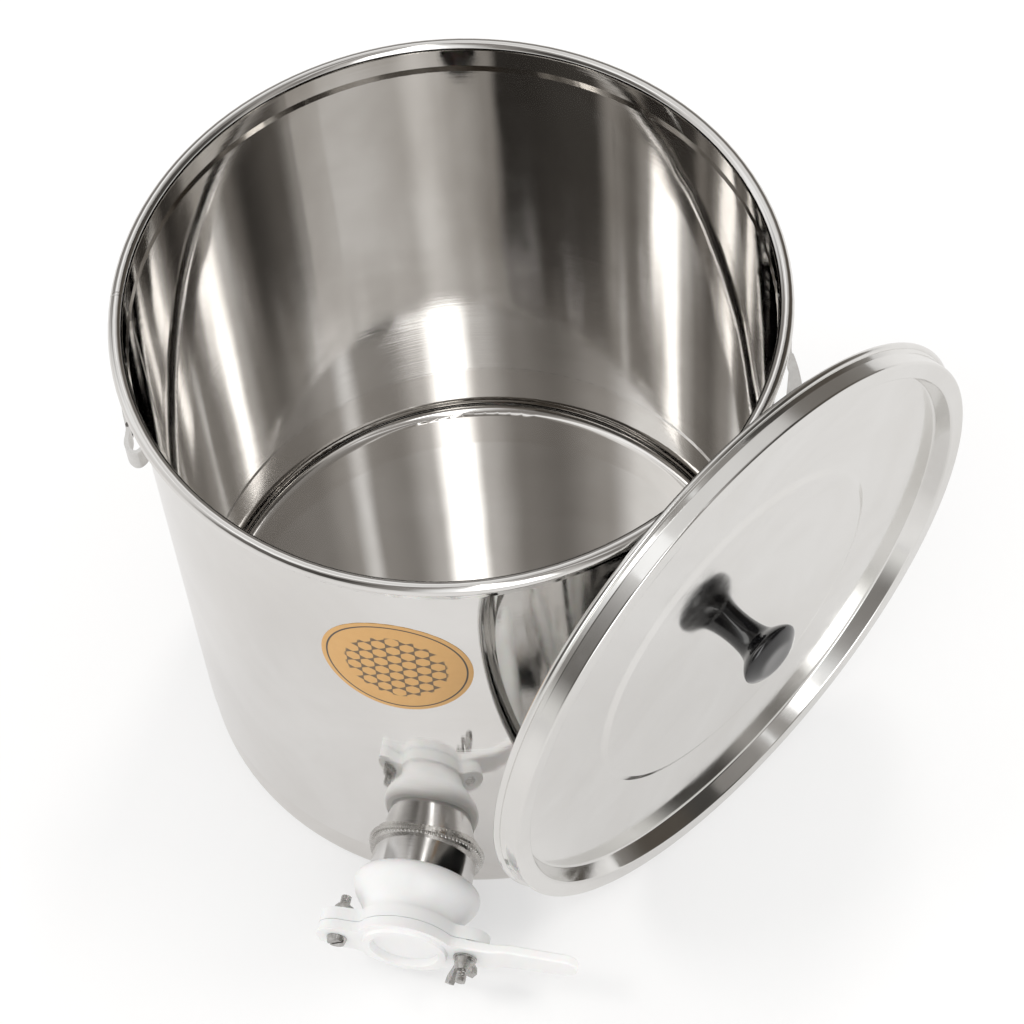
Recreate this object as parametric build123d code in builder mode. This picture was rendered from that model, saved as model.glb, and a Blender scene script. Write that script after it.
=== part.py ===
import os
from math import cos, radians, sin, sqrt

from build123d import *

os.makedirs("parts", exist_ok=True)

# driving sizes, millimetres
wall_r = 180.0
sheet = 0.8
rim_top = 367.2
bead_r = 4.05
neck_step = 0.65
neck_low = 346.0
neck_rise = 4.0
pan_lap_low = 32.0
pan_lap_high = 44.8
pan_corner = 8.0
lap_gap = 0.05
fit_gap = 0.05
run_gap = 0.3

gate_z = 40.5
pipe_r = 31.5
pipe_wall = 2.0
pipe_reach = 33.0
weld_foot_wide = 4.1
weld_neck_wide = 2.3
weld_low = 1.5
weld_high = 3.0
throat_r = 20.5
socket_hold = 11.5
flare_wide = 7.2
gasket_thick = 2.0
neck_long = 15.6
plate_thick = 7.9
disc_r = 30.6
ear_r = 12.6
pivot_x = -41.4
clamp_x = 36.9
flap_thick = 6.5
flap_ring_r = 26.3
flap_pocket_r = 21.1
flap_ring_high = 2.0
flap_pocket_deep = 2.6
arm_tip_x = 104.4
arm_root_half = 12.2
arm_tip_half = 9.6
arm_set_back = 2.2
arm_thick = 6.0
bolt_r = 3.0
hex_flats = 10.0
wing_turn = 51.0

handle_z = 270.0
handle_turn = 3.3
strap_thick = 2.4
strap_high = 15.0
grip_high = 20.0
grip_half = 42.0
grip_out = 16.0
grip_gap = 5.6
grip_sheet = 2.0
foot_half = 52.0
bend_half = 60.2

label_z = 270.2
label_half_wide = 42.2
label_half_high = 45.7
label_thick = 0.2

lid_azimuth = -33.75
lid_tilt = -0.5
lid_shift = 28.7
lid_play = 0.45
ring_wide = 10.8
plug_draft = 3.8
panel_deep = 10.6
dome_share = 0.637
dome_slope = 4.6
dome_high = 1.8
skirt_deep = 9.6
curl_step = 1.2
curl_deep = 14.0
curl_r = 2.2
knob_high = 30.5
knob_neck_r = 9.8
knob_cap_r = 20.6

# wall: one seamed cylinder of sheet
neck_r = wall_r + neck_step
bead_centre_r = neck_r - sheet + bead_r
bead_z = rim_top - bead_r
with BuildPart() as tank_wall:
    with BuildSketch(Plane.XZ):
        with BuildLine():
            Polyline(
                (wall_r, pan_lap_low),
                (wall_r, neck_low),
                (wall_r - sheet, neck_low),
                (wall_r - sheet, pan_lap_low),
                close=True,
            )
        make_face()
    revolve(axis=Axis.Z)
    with BuildSketch(Plane.XZ):
        with Locations((0, gate_z)):
            Circle(pipe_r + fit_gap)
    extrude(amount=wall_r + 20, mode=Mode.SUBTRACT)

# rim band, stepped out at the neck and curled over a wire
with BuildPart() as rim_band:
    with BuildSketch(Plane.XZ):
        with BuildLine():
            Polyline(
                (wall_r, neck_low),
                (neck_r, neck_low + neck_rise),
                (neck_r, bead_z),
                (neck_r - sheet, bead_z),
                (neck_r - sheet, neck_low + neck_rise),
                (wall_r - sheet, neck_low),
                close=True,
            )
        make_face()
    revolve(axis=Axis.Z)
    with BuildSketch(Plane.XZ):
        with Locations((bead_centre_r, bead_z)):
            Circle(bead_r)
            Circle(bead_r - sheet, mode=Mode.SUBTRACT)
        with BuildLine():
            Polyline(
                (bead_centre_r, bead_z),
                (bead_centre_r - 2 * bead_r, bead_z),
                (bead_centre_r - 2 * bead_r, bead_z - 2 * bead_r),
                (bead_centre_r - 1.6 * bead_r, bead_z - 1.2 * bead_r),
                close=True,
            )
        make_face(mode=Mode.SUBTRACT)
    revolve(axis=Axis.Z)

# the wire that the rim is rolled over
wire_r = bead_r - sheet - fit_gap
with BuildPart() as rim_wire:
    with BuildSketch(Plane.XZ):
        with Locations((bead_centre_r, bead_z)):
            Circle(wire_r)
    revolve(axis=Axis.Z)

# pressed base, its skirt lapped inside the wall
pan_r = wall_r - sheet - lap_gap
with BuildPart() as base_pan:
    with BuildSketch(Plane.XZ):
        with BuildLine():
            Line((0, 0), (pan_r - pan_corner - sheet, 0))
            CenterArc((pan_r - pan_corner - sheet, pan_corner + sheet), pan_corner + sheet, -90, 90)
            Line((pan_r, pan_corner + sheet), (pan_r, pan_lap_high))
            Line((pan_r, pan_lap_high), (pan_r - sheet, pan_lap_high))
            Line((pan_r - sheet, pan_lap_high), (pan_r - sheet, pan_corner + sheet))
            CenterArc((pan_r - pan_corner - sheet, pan_corner + sheet), pan_corner, 0, -90)
            Line((pan_r - pan_corner - sheet, sheet), (0, sheet))
            Line((0, sheet), (0, 0))
        make_face()
    revolve(axis=Axis.Z)
    with BuildSketch(Plane.XZ):
        with Locations((0, gate_z)):
            Circle(pipe_r + fit_gap)
    extrude(amount=wall_r + 20, mode=Mode.SUBTRACT)

# outlet pipe, coped to the inside of the tank
pipe_end = wall_r + pipe_reach
with BuildPart() as outlet_pipe:
    with BuildSketch(Plane.XZ):
        with Locations((0, gate_z)):
            Circle(pipe_r)
            Circle(pipe_r - pipe_wall, mode=Mode.SUBTRACT)
    extrude(amount=pipe_end)
    Cylinder(pan_r - sheet, rim_top, mode=Mode.SUBTRACT)

# weld bead round the pipe, following the curve of the wall
with BuildPart() as outlet_weld:
    with BuildSketch(Plane.XZ):
        with Locations((0, gate_z)):
            Circle(pipe_r + weld_foot_wide)
            Circle(pipe_r, mode=Mode.SUBTRACT)
    extrude(amount=wall_r + 20)
    Cylinder(wall_r + weld_low, rim_top, mode=Mode.INTERSECT)
    with BuildSketch(Plane.XZ):
        with Locations((0, gate_z)):
            Circle(pipe_r + weld_neck_wide)
            Circle(pipe_r, mode=Mode.SUBTRACT)
    extrude(amount=wall_r + weld_high)
    Cylinder(pan_r - 0.2, rim_top, mode=Mode.SUBTRACT)
    add(tank_wall.part, mode=Mode.SUBTRACT)
    add(base_pan.part, mode=Mode.SUBTRACT)

# flat seal between the pipe end and the gate socket
with BuildPart() as socket_gasket:
    with BuildSketch(Plane.XZ.offset(pipe_end)):
        with Locations((0, gate_z)):
            Circle(pipe_r)
            Circle(throat_r + 2, mode=Mode.SUBTRACT)
    extrude(amount=gasket_thick)

# gate body: flared socket, neck and two-eared face plate
socket_floor = pipe_end + gasket_thick
socket_back = pipe_end - socket_hold
plate_back = pipe_end + neck_long
plate_front = plate_back + plate_thick
flare_r = pipe_r + flare_wide
neck_body_r = disc_r - 1.2
ear_blend = 7.0
ring_seat_r = throat_r + 4.1
seal_r = 1.0
head_high = 4.0
with BuildPart() as gate_body:
    with BuildSketch(Plane.YZ):
        with BuildLine():
            Line((-socket_back, gate_z), (-socket_back, gate_z + flare_r - 3.6))
            Spline(
                (-socket_back, gate_z + flare_r - 3.6),
                (-socket_back - 2.6, gate_z + flare_r - 0.4),
                (-socket_back - 8.0, gate_z + flare_r - 0.5),
                (-socket_back - 14.5, gate_z + flare_r - 4.4),
                (-socket_back - 20.5, gate_z + neck_body_r + 1.0),
                (-plate_back - 1, gate_z + neck_body_r),
            )
            Line((-plate_back - 1, gate_z + neck_body_r), (-plate_back - 1, gate_z))
            Line((-plate_back - 1, gate_z), (-socket_back, gate_z))
        make_face()
    revolve(axis=Axis((0, 0, gate_z), (0, 1, 0)))
    with BuildSketch(Plane.XZ.offset(plate_back)) as plate_face:
        with Locations((0, gate_z)):
            Circle(disc_r)
        with Locations((pivot_x / 2, gate_z)):
            Rectangle(-pivot_x, 2 * ear_r)
        with Locations((clamp_x / 2, gate_z)):
            Rectangle(clamp_x, 2 * ear_r)
        with Locations((pivot_x, gate_z), (clamp_x, gate_z)):
            Circle(ear_r)
        inner_corners = [v for v in plate_face.vertices() if disc_r * 0.7 < abs(v.X) < disc_r]
        fillet(inner_corners, radius=ear_blend)
    extrude(amount=plate_thick)
    with BuildSketch(Plane.XZ.offset(socket_back)):
        with Locations((0, gate_z)):
            Circle(pipe_r + fit_gap)
    extrude(amount=socket_floor - socket_back, mode=Mode.SUBTRACT)
    with BuildSketch(Plane.XZ.offset(socket_back)):
        with Locations((0, gate_z)):
            Circle(throat_r)
    extrude(amount=plate_front - socket_back + 1, mode=Mode.SUBTRACT)
    with BuildSketch(Plane.XZ.offset(plate_front - 2 * seal_r)):
        with Locations((0, gate_z)):
            Circle(ring_seat_r + seal_r + fit_gap)
            Circle(ring_seat_r - seal_r - fit_gap, mode=Mode.SUBTRACT)
    extrude(amount=2 * seal_r, mode=Mode.SUBTRACT)
    with BuildSketch(Plane.XZ.offset(plate_back)):
        with Locations((pivot_x, gate_z), (clamp_x, gate_z)):
            Circle(bolt_r + fit_gap)
    extrude(amount=plate_thick + 1, mode=Mode.SUBTRACT)
    with BuildSketch(Plane.XZ.offset(plate_back)):
        with Locations((clamp_x, gate_z)):
            RegularPolygon(hex_flats / 2 + fit_gap, 6, major_radius=False)
    extrude(amount=head_high, mode=Mode.SUBTRACT)

# ring seal let into the face plate
with BuildPart() as gate_seal:
    with BuildSketch(Plane.YZ):
        with Locations((-plate_front + seal_r, gate_z + ring_seat_r)):
            Circle(seal_r)
    revolve(axis=Axis((0, 0, gate_z), (0, 1, 0)))

# arm of the lever: tapered outline, its face set back past the ear in a smooth jog
flap_back = plate_front + run_gap
flap_front = flap_back + flap_thick
arm_front = flap_front - arm_set_back
ear_end_x = clamp_x + ear_r
jog_long = 16.0
with BuildPart() as lever_arm:
    with BuildSketch(Plane.XZ.offset(arm_front - arm_thick)):
        with BuildLine():
            Line((clamp_x, gate_z - ear_r), (clamp_x, gate_z + ear_r))
            Spline(
                (clamp_x, gate_z + ear_r),
                (ear_end_x + 6, gate_z + arm_root_half - 0.8),
                (arm_tip_x - arm_tip_half, gate_z + arm_tip_half),
                tangents=((1, 0), (1, 0)),
            )
            CenterArc((arm_tip_x - arm_tip_half, gate_z), arm_tip_half, 90, -180)
            Spline(
                (arm_tip_x - arm_tip_half, gate_z - arm_tip_half),
                (ear_end_x + 6, gate_z - arm_root_half + 0.8),
                (clamp_x, gate_z - ear_r),
                tangents=((-1, 0), (-1, 0)),
            )
        make_face()
    extrude(amount=2 * arm_thick)
    with BuildSketch(Plane.XY.offset(gate_z - 2 * ear_r)):
        with BuildLine():
            Line((clamp_x, -flap_back), (clamp_x, -flap_front))
            Line((clamp_x, -flap_front), (ear_end_x - 2, -flap_front))
            Spline(
                (ear_end_x - 2, -flap_front),
                (ear_end_x - 2 + jog_long, -arm_front),
                tangents=((1, 0), (1, 0)),
            )
            Line((ear_end_x - 2 + jog_long, -arm_front), (arm_tip_x + 1, -arm_front))
            Line((arm_tip_x + 1, -arm_front), (arm_tip_x + 1, arm_thick - arm_front))
            Line((arm_tip_x + 1, arm_thick - arm_front), (ear_end_x + jog_long, arm_thick - arm_front))
            Spline(
                (ear_end_x + jog_long, arm_thick - arm_front),
                (ear_end_x + 1, -flap_back),
                tangents=((-1, 0), (-1, 0)),
            )
            Line((ear_end_x + 1, -flap_back), (clamp_x, -flap_back))
        make_face()
    extrude(amount=4 * ear_r, mode=Mode.INTERSECT)
    tip_edges = lever_arm.edges().filter_by_position(Axis.X, arm_tip_x - 1.5 * arm_tip_half, arm_tip_x + 1)
    fillet(tip_edges.filter_by(GeomType.CIRCLE), radius=1.2)

# lever: closing flap with its raised ring and pocket, slotted ear, long arm
slot_half = bolt_r + 0.4
reach = clamp_x - pivot_x
slot_low = ear_r + 2
slot_drift = reach - sqrt(reach**2 - slot_low**2)
with BuildPart() as gate_lever:
    with BuildSketch(Plane.XZ.offset(flap_back)) as flap_face:
        with Locations((0, gate_z)):
            Circle(disc_r)
        with Locations((pivot_x / 2, gate_z)):
            Rectangle(-pivot_x, 2 * ear_r)
        with Locations((clamp_x / 2, gate_z)):
            Rectangle(clamp_x, 2 * ear_r)
        with Locations((pivot_x, gate_z)):
            Circle(ear_r)
        inner_corners = [v for v in flap_face.vertices() if disc_r * 0.7 < abs(v.X) < disc_r]
        fillet(inner_corners, radius=ear_blend)
    extrude(amount=flap_thick)
    add(lever_arm.part)
    with BuildSketch(Plane.XZ.offset(flap_front)):
        with Locations((0, gate_z)):
            Circle(flap_ring_r)
    extrude(amount=flap_ring_high, taper=25)
    with BuildSketch(Plane.XZ.offset(flap_front + flap_ring_high)):
        with Locations((0, gate_z)):
            Circle(flap_pocket_r)
    extrude(amount=-flap_ring_high - flap_pocket_deep, taper=12, mode=Mode.SUBTRACT)
    with BuildSketch(Plane.XZ.offset(flap_back)):
        with Locations((pivot_x, gate_z)):
            Circle(bolt_r + fit_gap)
        with Locations((clamp_x, gate_z)):
            Circle(slot_half)
        with BuildLine():
            Polyline(
                (clamp_x - slot_half, gate_z),
                (clamp_x + slot_half, gate_z),
                (clamp_x + slot_half, gate_z - slot_low),
                (clamp_x - slot_half - slot_drift, gate_z - slot_low),
                close=True,
            )
        make_face()
    extrude(amount=flap_thick, mode=Mode.SUBTRACT)

# pivot bolt with a slotted round head, washer and nut behind the plate
pivot_head_r = 6.3
pivot_head_high = 3.2
washer_thick = 1.0
nut_high = 5.0
thread_end = 6.5
nut_back = plate_back - washer_thick - nut_high
with BuildPart() as pivot_bolt:
    with BuildSketch(Plane.XZ.offset(nut_back - thread_end)):
        with Locations((pivot_x, gate_z)):
            Circle(bolt_r)
    extrude(amount=flap_front + run_gap - nut_back + thread_end)
    with BuildSketch(Plane.XZ.offset(flap_front + run_gap)):
        with Locations((pivot_x, gate_z)):
            Circle(pivot_head_r)
    extrude(amount=pivot_head_high, taper=18)
    with BuildSketch(Plane.XZ.offset(flap_front + run_gap + pivot_head_high)):
        with Locations((pivot_x, gate_z)):
            Rectangle(3 * pivot_head_r, 1.4, rotation=35)
    extrude(amount=-1.5, mode=Mode.SUBTRACT)

with BuildPart() as pivot_washer:
    with BuildSketch(Plane.XZ.offset(plate_back - washer_thick)):
        with Locations((pivot_x, gate_z)):
            Circle(2.1 * bolt_r)
            Circle(bolt_r + fit_gap, mode=Mode.SUBTRACT)
    extrude(amount=washer_thick)

with BuildPart() as pivot_nut:
    with BuildSketch(Plane.XZ.offset(nut_back)):
        with Locations((pivot_x, gate_z)):
            RegularPolygon(hex_flats / 2, 6, major_radius=False)
            Circle(bolt_r + fit_gap, mode=Mode.SUBTRACT)
    extrude(amount=nut_high)

# clamp bolt, its head let into the plate, with washer and wing nut in front
clamp_end = flap_front + 15.8
with BuildPart() as clamp_bolt:
    with BuildSketch(Plane.XZ.offset(plate_back)):
        with Locations((clamp_x, gate_z)):
            RegularPolygon(hex_flats / 2, 6, major_radius=False)
    extrude(amount=head_high)
    with BuildSketch(Plane.XZ.offset(plate_back + head_high)):
        with Locations((clamp_x, gate_z)):
            Circle(bolt_r)
    extrude(amount=clamp_end - plate_back - head_high)

with BuildPart() as clamp_washer:
    with BuildSketch(Plane.XZ.offset(flap_front + run_gap)):
        with Locations((clamp_x, gate_z)):
            Circle(2.4 * bolt_r)
            Circle(bolt_r + fit_gap, mode=Mode.SUBTRACT)
    extrude(amount=washer_thick)

hub_back = flap_front + run_gap + washer_thick
hub_high = 7.5
hub_r = 6.2
wing_span = 28.2
wing_rise = 13.6
wing_thick = 3.9
turn_dir = (cos(radians(wing_turn)), 0, sin(radians(wing_turn)))
wing_plane = Plane(
    origin=(clamp_x, -hub_back, gate_z),
    x_dir=turn_dir,
    z_dir=(turn_dir[2], 0, -turn_dir[0]),
)
with BuildPart() as wing_nut:
    with BuildSketch(Plane.XZ.offset(hub_back)):
        with Locations((clamp_x, gate_z)):
            Circle(hub_r)
    extrude(amount=hub_high, taper=9)
    for side in (-1, 1):
        with BuildSketch(wing_plane) as wing_face:
            with BuildLine():
                Polyline(
                    (side * 3.4, 1.0),
                    (side * hub_r, 0.9),
                    (side * (wing_span / 2 - 1.2), wing_rise - 5.6),
                    (side * wing_span / 2, wing_rise - 1.4),
                    (side * (wing_span / 2 - 4.4), wing_rise),
                    (side * (hub_r - 0.9), hub_high - 0.6),
                    (side * 3.4, hub_high - 0.6),
                    close=True,
                )
            make_face()
            outer_corners = [v for v in wing_face.vertices() if Vector(v).Y < -hub_back - hub_high + 0.2]
            fillet(outer_corners, radius=1.3)
        extrude(amount=wing_thick / 2, both=True)
    with BuildSketch(Plane.XZ.offset(hub_back)):
        with Locations((clamp_x, gate_z)):
            Circle(bolt_r + fit_gap)
    extrude(amount=2 * hub_high + 10, mode=Mode.SUBTRACT)

# side handles: bent strap with a pressed channel grip, ends folded back to the wall
foot_r = wall_r + strap_thick / 2
foot_start = (sqrt(foot_r**2 - (foot_half - 12) ** 2), foot_half - 12)
foot_end = (sqrt(foot_r**2 - foot_half**2), foot_half)
bend_in = (foot_end[0] + 4.3, bend_half)
bend_out = (foot_end[0] + 9.0, bend_half - 2.5)
grip_mid = wall_r + grip_out - strap_thick / 2
grip_end = wall_r + 6.0
grip_arc_r = (grip_half**2 + (grip_mid - grip_end) ** 2) / (2 * (grip_mid - grip_end))
grip_centre_x = grip_mid - grip_arc_r
grip_near = wall_r + grip_gap
with BuildPart() as handle_right:
    with BuildLine() as strap_line:
        grip_arc = ThreePointArc((grip_end, -grip_half), (grip_mid, 0), (grip_end, grip_half))
        Spline(
            (foot_start[0], -foot_start[1]),
            (foot_end[0], -foot_end[1]),
            (bend_in[0], -bend_in[1]),
            (bend_out[0], -bend_out[1]),
            (grip_end, -grip_half),
            tangents=((foot_start[1], -foot_start[0]), grip_arc % 0),
        )
        Spline(
            (grip_end, grip_half),
            bend_out,
            bend_in,
            foot_end,
            foot_start,
            tangents=(grip_arc % 1, (-foot_start[1], -foot_start[0])),
        )
    strap_path = strap_line.wire()
    with BuildSketch(Plane(origin=strap_path @ 0, x_dir=(0, 0, 1), z_dir=strap_path % 0)):
        Rectangle(strap_high, strap_thick)
    sweep(path=strap_path)
    with BuildSketch(Plane.XY.offset(-grip_high / 2)):
        with Locations((grip_centre_x, 0)):
            Circle(grip_arc_r + strap_thick / 2)
        with Locations((grip_near + 10, 0)):
            Rectangle(20, 2 * grip_half, mode=Mode.INTERSECT)
    extrude(amount=grip_high)
    with BuildSketch(Plane.XY.offset(-grip_high / 2 + grip_sheet)):
        with Locations((grip_centre_x, 0)):
            Circle(grip_arc_r - strap_thick / 2)
        with Locations((grip_near + 10, 0)):
            Rectangle(20, 2 * grip_half, mode=Mode.INTERSECT)
    extrude(amount=grip_high - 2 * grip_sheet, mode=Mode.SUBTRACT)
    Cylinder(wall_r, 60, mode=Mode.SUBTRACT)
handle_spots = {}
for spot_name, spot_turn in (("handle_right", handle_turn), ("handle_left", handle_turn + 180)):
    handle_spots[spot_name] = Location((0, 0, handle_z), (0, 0, spot_turn)) * handle_right.part

# thin oval plate of the front label
with BuildPart() as label_oval:
    with BuildSketch(Plane.XZ):
        with Locations((0, label_z)):
            Ellipse(label_half_wide, label_half_high)
    extrude(amount=wall_r + 10)
    Cylinder(wall_r + label_thick, 2 * rim_top, mode=Mode.INTERSECT)
    Cylinder(wall_r, 2 * rim_top, mode=Mode.SUBTRACT)

# lid, standing on its curled edge with its panel against the rim
tilt = radians(lid_tilt)
heading = radians(lid_azimuth)
lid_normal = Vector(cos(heading) * cos(tilt), sin(heading) * cos(tilt), sin(tilt))
lid_side = Vector(-sin(heading), cos(heading), 0)
ring_r = bead_centre_r + bead_r + lid_play + sheet
ring_in_r = ring_r - ring_wide
panel_r = ring_in_r - plug_draft
dome_r = panel_r * dome_share
curl_centre_r = ring_r + curl_step
lid_centre_z = curl_centre_r * cos(tilt) + curl_r + curl_deep * sin(tilt)
rim_support = bead_centre_r * cos(tilt) + bead_z * sin(tilt) + bead_r
along_normal = rim_support + run_gap + panel_deep + sheet
lid_out = (along_normal - lid_centre_z * sin(tilt)) / cos(tilt)
lid_centre = Vector(
    lid_out * cos(heading) + lid_shift * lid_side.X,
    lid_out * sin(heading) + lid_shift * lid_side.Y,
    lid_centre_z,
)
lid_plane = Plane(origin=lid_centre, x_dir=lid_side, z_dir=lid_normal)
lid_cut = Plane(origin=lid_centre, x_dir=lid_side, z_dir=lid_side.cross(lid_normal))
lid_axis = Axis(lid_centre, lid_normal)
screw_r = 3.0
with BuildPart() as lid_pan:
    with BuildSketch(lid_cut):
        with BuildLine():
            front = FilletPolyline(
                (screw_r + fit_gap, -panel_deep + dome_high),
                (dome_r - dome_slope, -panel_deep + dome_high),
                (dome_r, -panel_deep),
                (panel_r, -panel_deep),
                (ring_in_r, 0),
                (ring_r, 0),
                (ring_r, -skirt_deep),
                (curl_centre_r, -curl_deep + curl_r - sheet / 2),
                radius=1.5,
            )
            back = FilletPolyline(
                (screw_r + fit_gap, -panel_deep + dome_high - sheet),
                (dome_r - dome_slope, -panel_deep + dome_high - sheet),
                (dome_r, -panel_deep - sheet),
                (panel_r + sheet, -panel_deep - sheet),
                (ring_in_r + sheet, -sheet),
                (ring_r - sheet, -sheet),
                (ring_r - sheet, -skirt_deep),
                (curl_centre_r - sheet, -curl_deep + curl_r - sheet / 2),
                radius=1.2,
            )
            Line(front @ 0, back @ 0)
            Line(front @ 1, back @ 1)
        make_face()
    revolve(axis=lid_axis)
    with BuildSketch(lid_cut):
        with Locations((curl_centre_r, -curl_deep)):
            Circle(curl_r)
            Circle(curl_r - sheet, mode=Mode.SUBTRACT)
    revolve(axis=lid_axis)

# turned knob on the middle of the lid
knob_seat = -panel_deep + dome_high
knob_top = knob_seat + knob_high
screw_reach = 12.0
with BuildPart() as lid_knob:
    with BuildSketch(lid_cut):
        with BuildLine():
            Line((0, knob_top), (0, knob_seat + screw_reach))
            Line((0, knob_seat + screw_reach), (screw_r + fit_gap, knob_seat + screw_reach))
            Line((screw_r + fit_gap, knob_seat + screw_reach), (screw_r + fit_gap, knob_seat))
            Line((screw_r + fit_gap, knob_seat), (knob_neck_r, knob_seat))
            Spline(
                (knob_neck_r, knob_seat),
                (knob_neck_r * 1.05, knob_seat + 0.26 * knob_high),
                (knob_cap_r * 0.63, knob_seat + 0.54 * knob_high),
                (knob_cap_r * 0.93, knob_seat + 0.73 * knob_high),
                (knob_cap_r, knob_seat + 0.83 * knob_high),
                (knob_cap_r * 0.84, knob_seat + 0.93 * knob_high),
                (0, knob_top),
                tangents=((0, 1), (-1, 0)),
            )
        make_face()
    revolve(axis=lid_axis)

screw_head_high = 3.4
washer_back = -panel_deep + dome_high - sheet - washer_thick
with BuildPart() as knob_washer:
    with BuildSketch(Plane(origin=lid_centre + lid_normal * washer_back, x_dir=lid_side, z_dir=lid_normal)):
        Circle(8.5)
        Circle(screw_r + fit_gap, mode=Mode.SUBTRACT)
    extrude(amount=washer_thick)

with BuildPart() as knob_screw:
    head_place = lid_centre + lid_normal * (washer_back - screw_head_high)
    with BuildSketch(Plane(origin=head_place, x_dir=lid_side, z_dir=lid_normal)):
        Circle(5.8)
    extrude(amount=screw_head_high)
    with BuildSketch(Plane(origin=lid_centre + lid_normal * washer_back, x_dir=lid_side, z_dir=lid_normal)):
        Circle(screw_r)
    extrude(amount=knob_seat + screw_reach - 0.5 - washer_back)

tank_wall.part.label = "tank_wall"
export_step(tank_wall.part, "parts/tank_wall.step")
rim_band.part.label = "rim_band"
export_step(rim_band.part, "parts/rim_band.step")
rim_wire.part.label = "rim_wire"
export_step(rim_wire.part, "parts/rim_wire.step")
base_pan.part.label = "base_pan"
export_step(base_pan.part, "parts/base_pan.step")
outlet_pipe.part.label = "outlet_pipe"
export_step(outlet_pipe.part, "parts/outlet_pipe.step")
outlet_weld.part.label = "outlet_weld"
export_step(outlet_weld.part, "parts/outlet_weld.step")
socket_gasket.part.label = "socket_gasket"
export_step(socket_gasket.part, "parts/socket_gasket.step")
gate_body.part.label = "gate_body"
export_step(gate_body.part, "parts/gate_body.step")
gate_seal.part.label = "gate_seal"
export_step(gate_seal.part, "parts/gate_seal.step")
gate_lever.part.label = "gate_lever"
export_step(gate_lever.part, "parts/gate_lever.step")
pivot_bolt.part.label = "pivot_bolt"
export_step(pivot_bolt.part, "parts/pivot_bolt.step")
pivot_washer.part.label = "pivot_washer"
export_step(pivot_washer.part, "parts/pivot_washer.step")
pivot_nut.part.label = "pivot_nut"
export_step(pivot_nut.part, "parts/pivot_nut.step")
clamp_bolt.part.label = "clamp_bolt"
export_step(clamp_bolt.part, "parts/clamp_bolt.step")
clamp_washer.part.label = "clamp_washer"
export_step(clamp_washer.part, "parts/clamp_washer.step")
wing_nut.part.label = "wing_nut"
export_step(wing_nut.part, "parts/wing_nut.step")
for spot_name, spot_part in handle_spots.items():
    spot_part.label = spot_name
    export_step(spot_part, "parts/" + spot_name + ".step")
label_oval.part.label = "label_oval"
export_step(label_oval.part, "parts/label_oval.step")
lid_pan.part.label = "lid_pan"
export_step(lid_pan.part, "parts/lid_pan.step")
lid_knob.part.label = "lid_knob"
export_step(lid_knob.part, "parts/lid_knob.step")
knob_screw.part.label = "knob_screw"
export_step(knob_screw.part, "parts/knob_screw.step")
knob_washer.part.label = "knob_washer"
export_step(knob_washer.part, "parts/knob_washer.step")
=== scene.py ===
import math

import bmesh
import bpy
from mathutils import Euler, Matrix, Vector


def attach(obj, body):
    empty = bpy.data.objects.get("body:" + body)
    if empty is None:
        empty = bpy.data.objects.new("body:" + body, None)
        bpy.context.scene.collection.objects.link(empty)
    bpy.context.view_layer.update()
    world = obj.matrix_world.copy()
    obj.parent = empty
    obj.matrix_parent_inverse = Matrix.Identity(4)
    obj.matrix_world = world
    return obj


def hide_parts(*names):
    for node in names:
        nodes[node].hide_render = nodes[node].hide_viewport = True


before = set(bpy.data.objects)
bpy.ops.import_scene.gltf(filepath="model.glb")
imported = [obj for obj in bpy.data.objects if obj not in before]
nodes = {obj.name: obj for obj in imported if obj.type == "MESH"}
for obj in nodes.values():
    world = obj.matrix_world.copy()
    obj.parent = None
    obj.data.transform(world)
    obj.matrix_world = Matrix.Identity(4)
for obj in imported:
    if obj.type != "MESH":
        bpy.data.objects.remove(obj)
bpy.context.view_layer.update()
print("frame loaded:", len(nodes), "nodes")

cameraSet = {
    "place": (0.27325, -0.93444, 1.67018),
    "turn": (32.4189, 2.6719, 10.6967),
    "lens": 104.417,
}
floorSet = {
    "colour": (0.93, 0.925, 0.92),
    "cameraGlow": 0.5,
    "mirroredColour": (0.76, 0.745, 0.735),
    "mirroredShare": 0.6,
    "half": 14.0,
    "below": 0.0002,
}
# a band is (part of a turn round the tank, level of light), from the left handle round by the gate
roomSet = {
    "fillLevel": 0.86,
    "brightest": 3.0,
    "warmth": (1.0, 0.93, 0.86),
    "wallBands": (
        (0.00, 0.85), (0.05, 0.75), (0.10, 0.16), (0.18, 0.07), (0.23, 0.28), (0.27, 1.00),
        (0.30, 3.0), (0.34, 3.0), (0.36, 0.60), (0.40, 0.24), (0.44, 0.42), (0.48, 0.08),
        (0.66, 0.05), (0.69, 0.45), (0.75, 0.75), (0.82, 1.20), (0.86, 0.85), (0.95, 1.00),
    ),
    "ceilingBands": (
        (0.00, 1.20), (0.08, 1.10), (0.13, 0.45), (0.19, 0.24), (0.23, 0.30), (0.275, 0.75),
        (0.295, 3.0), (0.312, 3.0), (0.335, 0.70), (0.37, 0.34), (0.405, 0.40), (0.42, 1.00),
        (0.44, 0.45), (0.48, 0.30), (0.60, 0.25), (0.80, 0.80),
    ),
    "ceilingFrom": (0.792, 0.812),
    "tubeHeight": (0.794, 0.81),
    "tubeWidth": (0.0004, 0.0016),
    "tubeColour": (2.0, 2.0, 2.05),
    "horizonColour": (0.82, 0.81, 0.79),
    "horizonHeight": (0.02, 0.30),
    "backTurn": 0.76,
    "backWidth": (0.14, 0.22),
    "backHeight": (0.58, 0.72),
    "backShare": 0.8,
    "backColour": (0.10, 0.085, 0.07),
}
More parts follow.
